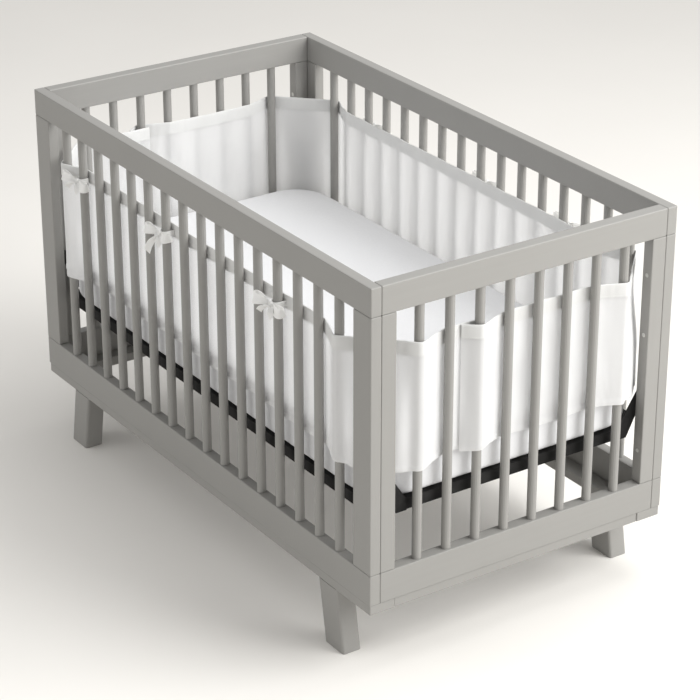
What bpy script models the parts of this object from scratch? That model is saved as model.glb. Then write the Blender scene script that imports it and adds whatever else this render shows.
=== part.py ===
"""Crib bumper on a crib: two mesh cloth panels woven through the slats of a slatted crib.

Metres, +Z up. The origin is on the floor under the crib's centre. The long sides run along X.
The near end is at +X and the front long side at -Y. Slats are counted from -X and from -Y.
"""

import math

import bmesh
import bpy
from mathutils import Matrix, Vector

# Crib, overall
LENGTH = 1.370
WIDTH = 0.755
HEIGHT = 0.858
GAP = 0.0003  # between pieces that touch
MERGE = 0.00005  # points closer than this are one point

# Side panels
SIDE_THICK = 0.025
END_THICK = 0.028
TOP_RAIL = 0.061
BOTTOM_RAIL = 0.069
SIDE_STILE = 0.061
END_STILE = 0.035
SLAT_RADIUS = 0.010
SLAT_SIDES = 16
SLAT_TENON = 0.008
SIDE_SLATS = 16
END_SLATS = 8
SIDE_PITCH = 0.0745
END_PITCH = 0.0728
EASED_EDGE = 0.002

# Base boards and feet
BASE_TOP = 0.164
BASE_THICK = 0.022
BASE_BOARD = 0.060
BASE_INSET = 0.0015
FOOT_LENGTH = 0.068
FOOT_DEPTH = 0.045
FOOT_TOP_X = 0.528
FOOT_SPLAY = 0.025
FOOT_EDGE = 0.006

# Mattress and its steel support
MATTRESS_LENGTH = 1.300
MATTRESS_WIDTH = 0.690
MATTRESS_BOTTOM = 0.365
MATTRESS_THICK = 0.119
MATTRESS_CORNER = 0.100
MATTRESS_EDGE = 0.018
MATTRESS_CROWN = 0.005
STEEL = 0.003
ANGLE = 0.025
STRAPS = 9
STRAP_WIDTH = 0.020
FRAME_CORNER = 0.054
ARM_WIDTH = 0.026
ARM_FOOT_Y = 0.283
BOLT_Z = 0.444
BOLT_RADIUS = 0.006
BOLT_HEAD = 0.0025

# Bumper cloth
CLOTH_TOP = 0.718
CLOTH_BOTTOM = 0.438
CLOTH = 0.0012
HEM = 0.012
HEM_THICK = 0.0024
BINDING = 0.030
BINDING_PLY = 0.0010
SLAT_CLEARANCE = 0.002
CLOTH_HALF = CLOTH / 2 + GAP + BINDING_PLY
WRAP_RADIUS = SLAT_RADIUS + SLAT_CLEARANCE + CLOTH_HALF
CLOTH_STEP = 0.0249  # spacing of the cloth's points along straight runs
ARC_STEP = math.radians(18)
BILLOW = 0.0025
EDGE_WAVE = 0.003
EDGE_WAVE_LENGTH = 0.31
CLOSURE_SLAT = 3
LAP_END = 0.013  # the inner panel ends this far past the closure slat
FREE_EDGE = 0.037  # the outer panel's free edge stands this far before the closure slat

# Ribbon ties
TIE_HEIGHT = 0.698
RIBBON = 0.0016
TIE_BAND = 0.012
TIE_WRAP = SLAT_RADIUS + 0.0022
CORNER_RELIEF = 0.006  # the band is this much shorter where the panel already leaves the slats' line
KNOT = (0.013, 0.009, 0.013)
LOOP_LENGTH = 0.050
LOOP_DEPTH = 0.013
LOOP_WIDTH = 0.019
LOOP_NECK = 0.008
LOOP_ROOT = 0.0022  # the loop's two ends stand this far off the knot's middle
LOOP_DROOP = 0.25
TAIL_WIDTH = 0.014
TAIL_OUT = 0.009  # how far a free end stands off the knot's middle
TAIL_APART = 0.002
SPREAD_TAILS = ((-0.034, 0.030), (0.020, 0.026))  # (sideways, drop) of the two free ends
HANGING_TAILS = ((-0.013, 0.044), (0.020, 0.030))
FRONT_TIES = {2: SPREAD_TAILS, 7: HANGING_TAILS, 13: SPREAD_TAILS}  # slat: free ends
BACK_TIES = {3: SPREAD_TAILS, 9: SPREAD_TAILS, 13: SPREAD_TAILS}

SIDE_Y = WIDTH / 2 - SIDE_THICK / 2  # the line of the long sides' slats
END_X = LENGTH / 2 - END_THICK / 2  # the line of the ends' slats
INNER_WIDTH = WIDTH - 2 * SIDE_THICK

# Colour, roughness and metallic value of each material
MATERIALS = {
    "painted_wood": ((0.36, 0.345, 0.32), 0.42, 0.0),
    "black_steel": ((0.02, 0.02, 0.022), 0.45, 0.6),
    "sheet_cotton": ((0.88, 0.89, 0.91), 0.85, 0.0),
    "mesh_cloth": ((0.90, 0.90, 0.90), 0.80, 0.0),
    "binding_cloth": ((0.80, 0.80, 0.79), 0.75, 0.0),
    "ribbon_cloth": ((0.93, 0.92, 0.89), 0.55, 0.0),
}


def clear_scene():
    for thing in list(bpy.data.objects):
        bpy.data.objects.remove(thing, do_unlink=True)


def material(slot, name):
    """One Principled material for each object, named after it."""
    colour, roughness, metallic = MATERIALS[slot]
    made = bpy.data.materials.new(name + "." + slot)
    made.use_nodes = True
    shader = made.node_tree.nodes["Principled BSDF"]
    shader.inputs["Base Color"].default_value = (*colour, 1.0)
    shader.inputs["Roughness"].default_value = roughness
    shader.inputs["Metallic"].default_value = metallic
    made.diffuse_color = (*colour, 1.0)
    return made


def make_object(name, bm, slot, sharp=math.radians(40)):
    """Turn a bmesh into a named, smooth-shaded object with its own material."""
    bmesh.ops.recalc_face_normals(bm, faces=bm.faces[:])
    mesh = bpy.data.meshes.new(name)
    bm.to_mesh(mesh)
    bm.free()
    mesh.materials.append(material(slot, name))
    mesh.shade_smooth()
    mesh.set_sharp_from_angle(angle=sharp)
    made = bpy.data.objects.new(name, mesh)
    bpy.context.scene.collection.objects.link(made)
    return made


def add_box(bm, low, high, eased=0.0):
    """Add a box between two corners, its edges eased by a small chamfer."""
    low, high = Vector(low), Vector(high)
    size = high - low
    place = Matrix.Translation((low + high) / 2) @ Matrix.Diagonal((*size, 1.0))
    corners = bmesh.ops.create_cube(bm, size=1.0, matrix=place)["verts"]
    if eased:
        edges = {edge for corner in corners for edge in corner.link_edges}
        bmesh.ops.bevel(bm, geom=list(edges), offset=eased, segments=2, profile=0.5, affect="EDGES")


def add_loft(bm, rings):
    """Join rings of points, one after another, into a tube with closed ends."""
    rows = [[bm.verts.new(point) for point in ring] for ring in rings]
    count = len(rows[0])
    for row, following in zip(rows, rows[1:]):
        for i in range(count):
            j = (i + 1) % count
            bm.faces.new((row[i], row[j], following[j], following[i]))
    bm.faces.new(rows[0])
    bm.faces.new(rows[-1])


def box(name, low, high, slot, eased=EASED_EDGE):
    bm = bmesh.new()
    add_box(bm, low, high, eased)
    return make_object(name, bm, slot)


def join(target, tools, operation="UNION"):
    """Apply exact Booleans of the tools to the target, one by one, and remove the tools."""
    for tool in tools:
        modifier = target.modifiers.new("join", "BOOLEAN")
        modifier.operation = operation
        modifier.solver = "EXACT"
        modifier.object = tool
        bpy.context.view_layer.update()
        evaluated = target.evaluated_get(bpy.context.evaluated_depsgraph_get())
        mesh = bpy.data.meshes.new_from_object(evaluated)
        target.modifiers.clear()
        target.data = mesh
        bpy.data.objects.remove(tool, do_unlink=True)
    tidy = bmesh.new()
    tidy.from_mesh(target.data)
    bmesh.ops.remove_doubles(tidy, verts=tidy.verts[:], dist=MERGE)
    bmesh.ops.dissolve_degenerate(tidy, edges=tidy.edges[:], dist=MERGE)
    tidy.to_mesh(target.data)
    tidy.free()
    kept = target.data.materials[0]
    target.data.materials.clear()
    target.data.materials.append(kept)
    target.data.shade_smooth()
    target.data.set_sharp_from_angle(angle=math.radians(40))
    return target


def along_side(index):
    """X of a slat of a long side, counted from 1 at the -X end."""
    return (index - (SIDE_SLATS + 1) / 2) * SIDE_PITCH


def along_end(index):
    """Y of a slat of an end, counted from 1 at the -Y side."""
    return (index - (END_SLATS + 1) / 2) * END_PITCH


def rail(name, half_span, thick, low, high):
    """A board along X between two heights."""
    return box(name, (-half_span, -thick / 2, low), (half_span, thick / 2, high), "painted_wood")


def glue_slats(board, places, low, high):
    """Join round slats, standing between two heights, to a rail."""
    bm = bmesh.new()
    for place in places:
        bmesh.ops.create_cone(
            bm, cap_ends=True, segments=SLAT_SIDES, radius1=SLAT_RADIUS, radius2=SLAT_RADIUS,
            depth=high - low, matrix=Matrix.Translation((place, 0, (low + high) / 2)),
        )
    return join(board, [make_object("slats", bm, "painted_wood")])


def build_side_panels():
    """Rails, slats and stiles of the four sides.

    An end's two rails and its slats are one glued solid. On a long side every other slat is glued to the
    top rail and the rest to the bottom rail, so that each solid has few convex parts.
    """
    low_rail_top = BASE_TOP + BOTTOM_RAIL
    high_rail_base = HEIGHT - TOP_RAIL
    stile_low = low_rail_top + GAP
    stile_high = high_rail_base - GAP
    places = [along_side(i + 1) for i in range(SIDE_SLATS)]
    for label, sign in (("front", -1), ("back", 1)):
        top = rail(label + "_top_rail_slats", LENGTH / 2, SIDE_THICK, high_rail_base, HEIGHT)
        glue_slats(top, places[1::2], low_rail_top + GAP, high_rail_base + SLAT_TENON)
        bottom = rail(label + "_bottom_rail_slats", LENGTH / 2, SIDE_THICK, BASE_TOP, low_rail_top)
        glue_slats(bottom, places[0::2], low_rail_top - SLAT_TENON, high_rail_base - GAP)
        for board in (top, bottom):
            board.location.y = sign * SIDE_Y
        for end, way in (("near", 1), ("far", -1)):
            outer = way * LENGTH / 2
            inner = way * (LENGTH / 2 - SIDE_STILE)
            low = (min(outer, inner), sign * SIDE_Y - SIDE_THICK / 2, stile_low)
            high = (max(outer, inner), sign * SIDE_Y + SIDE_THICK / 2, stile_high)
            box(f"{label}_stile_{end}", low, high, "painted_wood")
    half = INNER_WIDTH / 2 - GAP
    places = [along_end(i + 1) for i in range(END_SLATS)]
    for label, sign in (("near", 1), ("far", -1)):
        top = rail(label + "_end_rails_slats", half, END_THICK, high_rail_base, HEIGHT)
        glue_slats(top, places, low_rail_top - SLAT_TENON, high_rail_base + SLAT_TENON)
        join(top, [rail("lower", half, END_THICK, BASE_TOP, low_rail_top)])
        top.rotation_euler.z = math.pi / 2
        top.location.x = sign * END_X
        for side, way in (("front", -1), ("back", 1)):
            outer = way * half
            inner = way * (half - END_STILE)
            low = (sign * END_X - END_THICK / 2, min(outer, inner), stile_low)
            high = (sign * END_X + END_THICK / 2, max(outer, inner), stile_high)
            box(f"{label}_end_stile_{side}", low, high, "painted_wood")


def build_base():
    """Flat boards under the panels: two long ones, and two short ones between them."""
    high = BASE_TOP - GAP
    low = high - BASE_THICK
    half_length = LENGTH / 2 - BASE_INSET
    half_width = WIDTH / 2 - BASE_INSET
    for label, sign in (("front", -1), ("back", 1)):
        edges = sorted((sign * half_width, sign * (half_width - BASE_BOARD)))
        box(label + "_base_board", (-half_length, edges[0], low), (half_length, edges[1], high), "painted_wood")
    for label, sign in (("near", 1), ("far", -1)):
        edges = sorted((sign * (half_length - BASE_INSET), sign * (half_length - BASE_BOARD)))
        reach = half_width - BASE_BOARD - GAP
        box(label + "_base_board", (edges[0], -reach, low), (edges[1], reach, high), "painted_wood")


def rounded_rectangle(half_x, half_y, radius, steps):
    """Points of a rectangle with round corners, counter-clockwise."""
    points = []
    for quarter, (sx, sy) in enumerate(((1, 1), (-1, 1), (-1, -1), (1, -1))):
        for step in range(steps + 1):
            angle = (quarter + step / steps) * math.pi / 2
            x = sx * (half_x - radius) + radius * math.cos(angle)
            y = sy * (half_y - radius) + radius * math.sin(angle)
            points.append((x, y))
    return points


def build_feet():
    """Square feet that lean outwards along the crib, standing flat on the floor."""
    top = BASE_TOP - BASE_THICK - 2 * GAP
    outline = rounded_rectangle(FOOT_LENGTH / 2, FOOT_DEPTH / 2, FOOT_EDGE, 3)
    y_middle = WIDTH / 2 - BASE_INSET - FOOT_DEPTH / 2
    for end, sx in (("near", 1), ("far", -1)):
        for side, sy in (("front", -1), ("back", 1)):
            rings = []
            for height, lean in ((0.0, FOOT_SPLAY), (top, 0.0)):
                centre_x = sx * (FOOT_TOP_X + lean)
                rings.append([(centre_x + x, sy * y_middle + y, height) for x, y in outline])
            bm = bmesh.new()
            add_loft(bm, rings)
            make_object(f"foot_{end}_{side}", bm, "painted_wood")


def build_mattress():
    """One filled solid: round corners in plan, rounded edges and a slight crown."""
    top = MATTRESS_BOTTOM + MATTRESS_THICK
    levels = []
    for step in range(4):
        angle = math.radians(30 * step)
        inset = MATTRESS_EDGE * (1 - math.sin(angle))
        levels.append((inset, MATTRESS_BOTTOM + MATTRESS_EDGE * (1 - math.cos(angle))))
    for step in range(4):
        angle = math.radians(30 * step)
        inset = MATTRESS_EDGE * (1 - math.cos(angle))
        levels.append((inset, top - MATTRESS_EDGE * (1 - math.sin(angle))))
    for inset in (0.05, 0.12, 0.22):
        rise = MATTRESS_CROWN * math.sin(math.pi / 2 * inset / 0.22)
        levels.append((inset, top + rise))
    rings = []
    for inset, height in levels:
        radius = max(MATTRESS_CORNER - inset, 0.02)
        outline = rounded_rectangle(MATTRESS_LENGTH / 2 - inset, MATTRESS_WIDTH / 2 - inset, radius, 5)
        rings.append([(x, y, height) for x, y in outline])
    bm = bmesh.new()
    add_loft(bm, rings)
    make_object("mattress", bm, "sheet_cotton")


def add_prism(bm, outline, low, high):
    """Extrude a flat outline of (x, y) points between two heights."""
    add_loft(bm, [[(x, y, height) for x, y in outline] for height in (low, high)])


def frame_outline(inset):
    """The support frame's outline, a rectangle with its corners cut off, moved in by an inset."""
    half_x = END_X - END_THICK / 2 - 2 * GAP - STEEL - inset
    half_y = MATTRESS_WIDTH / 2 - inset
    cut = FRAME_CORNER - inset * (2 - math.sqrt(2))
    quarter = [(half_x, half_y - cut), (half_x - cut, half_y)]
    mirrored = [(-x, y) for x, y in reversed(quarter)]
    upper = quarter + mirrored
    return upper + [(-x, -y) for x, y in upper]


def build_frame():
    """Steel angle round the mattress's underside, with flat cross straps."""
    high = MATTRESS_BOTTOM - GAP
    low = high - ANGLE
    layers = (
        ("support_frame", 0.0, low, high),
        ("under", STEEL, low - STEEL, high - STEEL),
        ("middle", ANGLE, low, high + STEEL),
    )
    solids = []
    for name, inset, base, top in layers:
        bm = bmesh.new()
        add_prism(bm, frame_outline(inset), base, top)
        solids.append(make_object(name, bm, "black_steel"))
    frame = join(solids[0], solids[1:], "DIFFERENCE")
    straps = []
    reach = MATTRESS_WIDTH / 2 - ANGLE / 2
    for i in range(STRAPS):
        x = ((i + 1) / (STRAPS + 1) - 0.5) * MATTRESS_LENGTH
        low_corner = (x - STRAP_WIDTH / 2, -reach, high - 2 * STEEL)
        high_corner = (x + STRAP_WIDTH / 2, reach, high - STEEL / 2)
        straps.append(box("strap", low_corner, high_corner, "black_steel", 0.0))
    join(frame, straps)


def arm_outline():
    """A hanger seen along X: from the frame's end it slants up and out to a round bolt eye."""
    high = MATTRESS_BOTTOM - GAP
    half = ARM_WIDTH / 2
    eye_y = INNER_WIDTH / 2 - END_STILE / 2
    points = [(ARM_FOOT_Y - half, high - ANGLE), (ARM_FOOT_Y + half, high - ANGLE)]
    for step in range(7):
        angle = math.pi * step / 6
        points.append((eye_y + half * math.cos(angle), BOLT_Z + half * math.sin(angle)))
    return points + [(ARM_FOOT_Y - half, high)]


def build_hangers():
    """A steel arm at each corner holds the frame to a bolt in the end stile."""
    face = END_X - END_THICK / 2 - GAP
    eye_y = INNER_WIDTH / 2 - END_STILE / 2
    for end, sx in (("near", 1), ("far", -1)):
        for side, sy in (("front", -1), ("back", 1)):
            bm = bmesh.new()
            rings = [[(x, sy * y, z) for y, z in arm_outline()] for x in (sx * face, sx * (face - STEEL))]
            add_loft(bm, rings)
            arm = make_object(f"hanger_{end}_{side}", bm, "black_steel")
            bm = bmesh.new()
            place = Matrix.Translation((sx * (face - STEEL), sy * eye_y, BOLT_Z))
            place = place @ Matrix.Rotation(math.pi / 2, 4, "Y")
            bmesh.ops.create_cone(
                bm, cap_ends=True, segments=12, radius1=BOLT_RADIUS, radius2=BOLT_RADIUS,
                depth=2 * BOLT_HEAD, matrix=place,
            )
            join(arm, [make_object("bolt", bm, "black_steel")])


def taut_path(stops):
    """A line pulled tight past round slats.

    Each stop is (centre, turn, radius). turn is 1 where the line bends left around the centre, -1 where
    it bends right, and 0 for a plain end point.
    """
    tangents = []
    for (a, turn_a, radius_a), (b, turn_b, radius_b) in zip(stops, stops[1:]):
        across = Vector(b) - Vector(a)
        heading = math.atan2(across.y, across.x)
        lean = math.asin((turn_a * radius_a - turn_b * radius_b) / across.length)
        angle = heading + lean
        normal = Vector((math.sin(angle), -math.cos(angle)))
        start = Vector(a) + normal * turn_a * radius_a
        finish = Vector(b) + normal * turn_b * radius_b
        tangents.append((start, finish, angle))
    points = []
    for i, (start, finish, angle) in enumerate(tangents):
        if i:
            centre, turn, radius = stops[i]
            before = tangents[i - 1][2]
            swing = (angle - before + math.pi) % (2 * math.pi) - math.pi
            steps = max(1, math.ceil(abs(swing) / ARC_STEP))
            for step in range(1, steps):
                at = before + swing * step / steps
                offset = Vector((math.sin(at), -math.cos(at))) * turn * radius
                points.append(Vector(centre) + offset)
        parts = max(1, round((finish - start).length / CLOTH_STEP))
        for part in range(parts + 1):
            points.append(start.lerp(finish, part / parts))
    return [p for i, p in enumerate(points) if i == 0 or (p - points[i - 1]).length > 1e-5]


def near_slat(index):
    return (END_X, along_end(index))


def far_slat(index):
    return (-END_X, along_end(index))


def front_slat(index):
    return (along_side(index), -SIDE_Y)


def back_slat(index):
    return (along_side(index), SIDE_Y)


def front_panel_path():
    """From the near closure, round the front corners and along the front, to the far closure."""
    r = WRAP_RADIUS
    inside = END_X - r
    lap = along_end(CLOSURE_SLAT) + LAP_END
    return taut_path([
        ((inside, lap), 0, 0.0),
        (near_slat(2), 1, r),
        (near_slat(1), -1, r),
        (front_slat(SIDE_SLATS), -1, r),
        (front_slat(SIDE_SLATS - 1), 1, r),
        (front_slat(2), 1, r),
        (front_slat(1), -1, r),
        (far_slat(1), -1, r),
        (far_slat(2), 1, r),
        ((-inside, lap), 0, 0.0),
    ])


def back_panel_path():
    """From the near closure, round the back corners and along the back, to the far closure."""
    r = WRAP_RADIUS
    lapped = END_X - r + 2 * CLOTH_HALF + 2 * GAP
    free = along_end(CLOSURE_SLAT) - FREE_EDGE
    return taut_path([
        ((lapped, free), 0, 0.0),
        (near_slat(CLOSURE_SLAT), 1, r),
        (near_slat(CLOSURE_SLAT + 1), -1, r),
        (near_slat(END_SLATS - 1), -1, r),
        (near_slat(END_SLATS), 1, r),
        (back_slat(SIDE_SLATS), 1, r),
        (back_slat(SIDE_SLATS - 1), -1, r),
        (back_slat(2), -1, r),
        (back_slat(1), 1, r),
        (far_slat(END_SLATS), 1, r),
        (far_slat(END_SLATS - 1), -1, r),
        (far_slat(CLOSURE_SLAT + 1), -1, r),
        (far_slat(CLOSURE_SLAT), 1, r),
        ((-lapped, free), 0, 0.0),
    ])


def billow(point):
    """How far the cloth stands in towards the crib's middle between two slats of a straight run."""
    x, y = point
    on_side = abs(abs(y) - (SIDE_Y - WRAP_RADIUS)) < 1e-4 and abs(x) < along_side(SIDE_SLATS - 1)
    on_end = abs(abs(x) - (END_X - WRAP_RADIUS)) < 1e-4 and 0 < abs(y) < along_end(END_SLATS - 1)
    if on_side:
        phase = x / SIDE_PITCH
        return Vector((0, -math.copysign(1, y))) * BILLOW * (0.5 + 0.5 * math.cos(2 * math.pi * phase))
    if on_end and y > along_end(CLOSURE_SLAT + 1):
        phase = y / END_PITCH
        return Vector((-math.copysign(1, x), 0)) * BILLOW * (0.5 + 0.5 * math.cos(2 * math.pi * phase))
    return Vector((0, 0))


def path_frames(points):
    """Each point with its unit sideways direction and its distance along the path."""
    frames = []
    run = 0.0
    for i, point in enumerate(points):
        before = points[max(i - 1, 0)]
        after = points[min(i + 1, len(points) - 1)]
        if i:
            run += (point - before).length
        ahead = (after - before).normalized()
        frames.append((point, Vector((ahead.y, -ahead.x)), run))
    return frames


def cloth_strip(name, points, section, slot):
    """Loft a section of (sideways, height, share of the edge wave) points along a path."""
    rings = []
    for point, side, run in path_frames(points):
        wave = EDGE_WAVE * math.sin(2 * math.pi * run / EDGE_WAVE_LENGTH)
        ring = []
        for sideways, height, share in section:
            place = point + side * sideways
            ring.append((place.x, place.y, height + wave * share))
        rings.append(ring)
    bm = bmesh.new()
    add_loft(bm, rings)
    return make_object(name, bm, slot)


def build_bumper():
    """Two mesh panels, each with its own hem, and a binding folded over each top edge."""
    half, hem = CLOTH / 2, HEM_THICK / 2
    cut = CLOTH_TOP - BINDING_PLY - GAP
    panel = [
        (-hem, CLOTH_BOTTOM, 1), (hem, CLOTH_BOTTOM, 1), (hem, CLOTH_BOTTOM + HEM, 1),
        (half, CLOTH_BOTTOM + HEM + 0.001, 1), (half, cut, 0), (-half, cut, 0),
        (-half, CLOTH_BOTTOM + HEM + 0.001, 1), (-hem, CLOTH_BOTTOM + HEM, 1),
    ]
    inner, outer = half + GAP, CLOTH_HALF
    low = CLOTH_TOP - BINDING
    fold = cut + GAP
    binding = [
        (-outer, low, 0), (-inner, low, 0), (-inner, fold, 0), (inner, fold, 0),
        (inner, low, 0), (outer, low, 0), (outer, CLOTH_TOP, 0), (-outer, CLOTH_TOP, 0),
    ]
    for label, path in (("front", front_panel_path()), ("back", back_panel_path())):
        points = [point + billow(point) for point in path]
        cloth_strip(f"bumper_panel_{label}", points, panel, "mesh_cloth")
        cloth_strip(f"bumper_binding_{label}", points, binding, "binding_cloth")


def add_ribbon(bm, line, widths):
    """A flat ribbon along a line: each point has its own width, and the ribbon stands on edge."""
    rings = []
    for i, point in enumerate(line):
        before = line[max(i - 1, 0)]
        after = line[min(i + 1, len(line) - 1)]
        ahead = (after - before).normalized()
        flat = Vector((ahead.y, -ahead.x, 0)).normalized() * RIBBON / 2
        up = flat.cross(ahead).normalized() * widths[i] / 2
        if up.z < 0:
            up, flat = -up, -flat
        rings.append([point + flat + up, point - flat + up, point - flat - up, point + flat - up])
    add_loft(bm, rings)


def tie(name, slat, outward, tails, back_gap):
    """A bow tied round one slat: band, knot, two loops and two free ends.

    It is drawn with the slat's axis on Z and outward along -Y, then turned and moved. Each tail is
    (sideways, drop) from the knot to its free end. back_gap is where the band's ends stop.
    """
    band = []
    for side in (1, -1):
        leg = [Vector((side * TIE_WRAP, back_gap, 0)), Vector((side * TIE_WRAP, 0, 0))]
        band += leg if side == 1 else leg[::-1]
        if side == 1:
            for step in range(1, 4):
                angle = math.pi * step / 4
                band.append(Vector((TIE_WRAP * math.cos(angle), -TIE_WRAP * math.sin(angle), 0)))
    bm = bmesh.new()
    add_ribbon(bm, band, [TIE_BAND] * len(band))
    made = make_object(name, bm, "ribbon_cloth")

    knot_y = -(TIE_WRAP + KNOT[1] / 2 - RIBBON / 2)
    bm = bmesh.new()
    half_knot = Vector(KNOT) / 2
    centre = Vector((0, knot_y, 0))
    add_box(bm, centre - half_knot, centre + half_knot)
    pieces = [make_object("knot", bm, "ribbon_cloth")]
    for side in (1, -1):
        line, widths = [], []
        for step in range(9):
            t = step / 8
            reach = LOOP_LENGTH * math.sin(math.pi * t) ** 0.8
            bulge = LOOP_DEPTH / 2 * math.sin(2 * math.pi * t)
            droop = -LOOP_DROOP * reach * reach / LOOP_LENGTH
            apart = LOOP_ROOT * math.cos(math.pi * t)
            line.append(Vector((side * (reach + LOOP_ROOT), knot_y + apart - bulge, droop)))
            widths.append(LOOP_NECK + (LOOP_WIDTH - LOOP_NECK) * math.sin(math.pi * t))
        bm = bmesh.new()
        add_ribbon(bm, line, widths)
        pieces.append(make_object("loop", bm, "ribbon_cloth"))
    for order, (sideways, drop) in enumerate(tails):
        start = Vector((0, knot_y - TAIL_APART * (1 + order), -TAIL_APART))
        end = Vector((sideways, knot_y - TAIL_OUT - TAIL_APART * order, -drop))
        line = [start.lerp(end, t) for t in (0, 0.5, 1)]
        bm = bmesh.new()
        add_ribbon(bm, line, [LOOP_NECK, TAIL_WIDTH, TAIL_WIDTH])
        pieces.append(make_object("tail", bm, "ribbon_cloth"))
    join(made, pieces)
    made.rotation_euler.z = 0 if outward < 0 else math.pi
    made.location = (slat[0], slat[1], TIE_HEIGHT)
    return made


def build_ties():
    touching = WRAP_RADIUS - CLOTH_HALF - GAP
    clear_of_corner = touching - CORNER_RELIEF
    for number, (index, tails) in enumerate(FRONT_TIES.items()):
        back_gap = clear_of_corner if index == 2 else touching
        tie(f"tie_front_{number + 1}", front_slat(index), -1, tails, back_gap)
    for number, (index, tails) in enumerate(BACK_TIES.items()):
        tie(f"tie_back_{number + 1}", back_slat(index), 1, tails, touching)


def main():
    clear_scene()
    build_side_panels()
    build_base()
    build_feet()
    build_mattress()
    build_frame()
    build_hangers()
    build_bumper()
    build_ties()


main()
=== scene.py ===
"""Looks for the crib bumper on its crib: mesh panels, bindings, bows, mattress, finishes, light and camera.

Metres, +Z up. The near end of the crib is at +X and its front long side at -Y.
"""

import math

import bmesh
import bpy
from mathutils import Matrix, Vector, noise

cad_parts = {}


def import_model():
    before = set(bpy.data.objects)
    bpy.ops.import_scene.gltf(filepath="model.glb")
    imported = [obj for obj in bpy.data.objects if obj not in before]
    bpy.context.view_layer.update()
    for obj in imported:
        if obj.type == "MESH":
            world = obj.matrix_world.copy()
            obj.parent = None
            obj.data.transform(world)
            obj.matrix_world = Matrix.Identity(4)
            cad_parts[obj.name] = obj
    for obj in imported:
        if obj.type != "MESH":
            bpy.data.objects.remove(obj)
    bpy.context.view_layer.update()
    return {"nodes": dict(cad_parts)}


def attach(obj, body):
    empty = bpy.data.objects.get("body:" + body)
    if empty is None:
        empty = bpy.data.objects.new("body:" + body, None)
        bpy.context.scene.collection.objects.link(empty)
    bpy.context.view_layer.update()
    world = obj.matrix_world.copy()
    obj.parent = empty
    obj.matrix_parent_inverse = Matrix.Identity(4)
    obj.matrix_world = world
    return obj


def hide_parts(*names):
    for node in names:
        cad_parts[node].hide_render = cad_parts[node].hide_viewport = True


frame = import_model()
nodes = frame["nodes"]

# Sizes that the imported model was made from
LENGTH, WIDTH = 1.370, 0.755
SIDE_THICK, END_THICK = 0.025, 0.028
TOP_RAIL_BASE, LOW_RAIL_TOP = 0.797, 0.233
END_STILE = 0.035
SLAT_RADIUS = 0.010
SIDE_SLATS, END_SLATS = 16, 8
SIDE_PITCH, END_PITCH = 0.0745, 0.0728
GAP = 0.0003
MATTRESS_LENGTH, MATTRESS_WIDTH = 1.300, 0.690
MATTRESS_BOTTOM, MATTRESS_THICK = 0.365, 0.119
MATTRESS_CORNER, MATTRESS_EDGE = 0.100, 0.018
MATTRESS_CROWN = 0.005
CLOTH_TOP, CLOTH_BOTTOM = 0.718, 0.438
CLOTH, HEM, HEM_THICK = 0.0012, 0.012, 0.0024
BINDING, BINDING_PLY = 0.030, 0.0010
SLAT_CLEARANCE = 0.002
CLOTH_HALF = CLOTH / 2 + GAP + BINDING_PLY
WRAP_RADIUS = SLAT_RADIUS + SLAT_CLEARANCE + CLOTH_HALF
BILLOW = 0.0025
CORNER_SAG = 0.014  # how far the cloth across a corner bulges out towards its hem
SAG_PAST_SLATS, SAG_DOWN = (0.005, 0.04), (0.1, 0.75)  # where that bulge begins and where it is full
EDGE_WAVE, EDGE_WAVE_LENGTH = 0.003, 0.31
CLOSURE_SLAT, LAP_END, FREE_EDGE = 3, 0.013, 0.037
TIE_HEIGHT = 0.698
TIE_WRAP = SLAT_RADIUS + 0.0022
CORNER_RELIEF = 0.006  # the band is this much shorter where the panel already leaves the slats' line
KNOT_DEPTH = 0.009
KNOT_HALVES = (0.0064, 0.0046, 0.0062)  # half the knot's length, depth and height
BAND_WIDTH, BAND_PINCH = 0.012, 0.004  # the ribbon round the slat narrows towards the knot
LOOP_ROOT, TAIL_ROOT = 0.007, 0.0055  # widths of the ribbon where it leaves the knot
FRONT_TIES, BACK_TIES = (2, 7, 13), (3, 9, 13)
SIDE_Y = WIDTH / 2 - SIDE_THICK / 2
END_X = LENGTH / 2 - END_THICK / 2
INNER_WIDTH = WIDTH - 2 * SIDE_THICK

# Fineness of the visible cloth
RUN_STEP = 0.0048
ARC_STEP = math.radians(11)
ROW_STEP = 0.0062
TOP_ROW = 0.003  # the row under a panel's cut edge is at least this far below it
HEM_ROWS, HEM_STITCH_ROW = 5, 3
HEM_ROUNDING = 0.8  # the hem's first and last rows are this much of its thickness
SAME_POINT = 1e-5
STITCH, STITCH_GAP, THREAD = 0.0030, 0.0011, 0.00028
RIBBON = 0.0009

# How far the cloth leaves its taut line, and what it stays clear of
BROAD_WAVE = 0.0024
FOLD = 0.0016
SLANT = 0.0022
PUCKER, PUCKER_LENGTH, PUCKER_REACH = 0.0007, 0.0165, 0.05
RIPPLE, RIPPLE_LENGTH, RIPPLE_REACH = 0.0005, 0.031, 0.03
SLACK_REACH = 0.018  # the cloth is fully free this far past a slat's wrap
SLAT_PRESS = 0.0006  # how far the cloth may settle into its clearance round a slat
MATTRESS_CLEAR = 0.0026
MATTRESS_NEAR = 0.015  # below this height over the mattress the cloth keeps clear of it
TOP_DIP, TOP_WAVE = 0.0010, 0.0016
LOW_WAVE = 0.0018
SEAM_INSET = 0.0035  # the binding is sewn this far above its lower edges

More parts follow.
